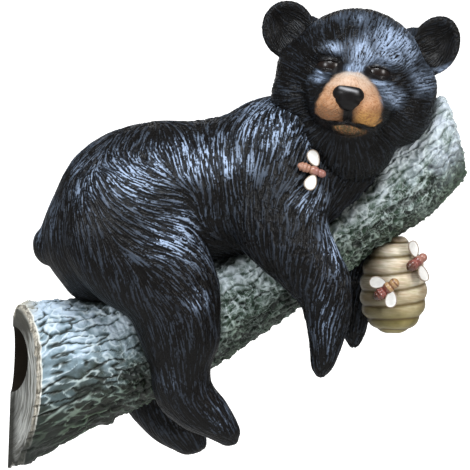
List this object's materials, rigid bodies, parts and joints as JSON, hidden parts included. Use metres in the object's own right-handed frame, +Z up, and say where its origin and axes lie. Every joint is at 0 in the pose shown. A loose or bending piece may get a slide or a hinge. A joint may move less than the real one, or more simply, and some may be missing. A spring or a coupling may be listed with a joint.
{
  "type": "bear hugging tree branch sculpture",
  "caption": "Black bear cub lying over a tree branch with a beehive and bees, cast and painted, hung on a tree trunk by the branch's flat butt end.",
  "frame": {"origin": "on the flat trunk face at the branch's butt end, between the face's top edge and the hollow that takes the hanger", "axes": "+X away from the trunk along the branch, -Y towards the viewer of the bear's face, +Z up"},
  "size_m": [0.3117, 0.1722, 0.3315],
  "materials": {
    "bear_on_branch": "hollow cast polyresin, hand painted: satin blue-black coat, grey-green bark, cream hive",
    "bee_on_shoulder": "cast polyresin, painted: red-brown body, white wings",
    "bee_on_hive_front": "cast polyresin, painted: red-brown body, white wings",
    "bee_on_hive_side": "cast polyresin, painted: red-brown body, white wings"
  },
  "bodies": {
    "root": {"bear_on_branch": "bear_on_branch", "bee_on_shoulder": "bee_on_shoulder", "bee_on_hive_front": "bee_on_hive_front", "bee_on_hive_side": "bee_on_hive_side"}
  },
  "joints": []
}
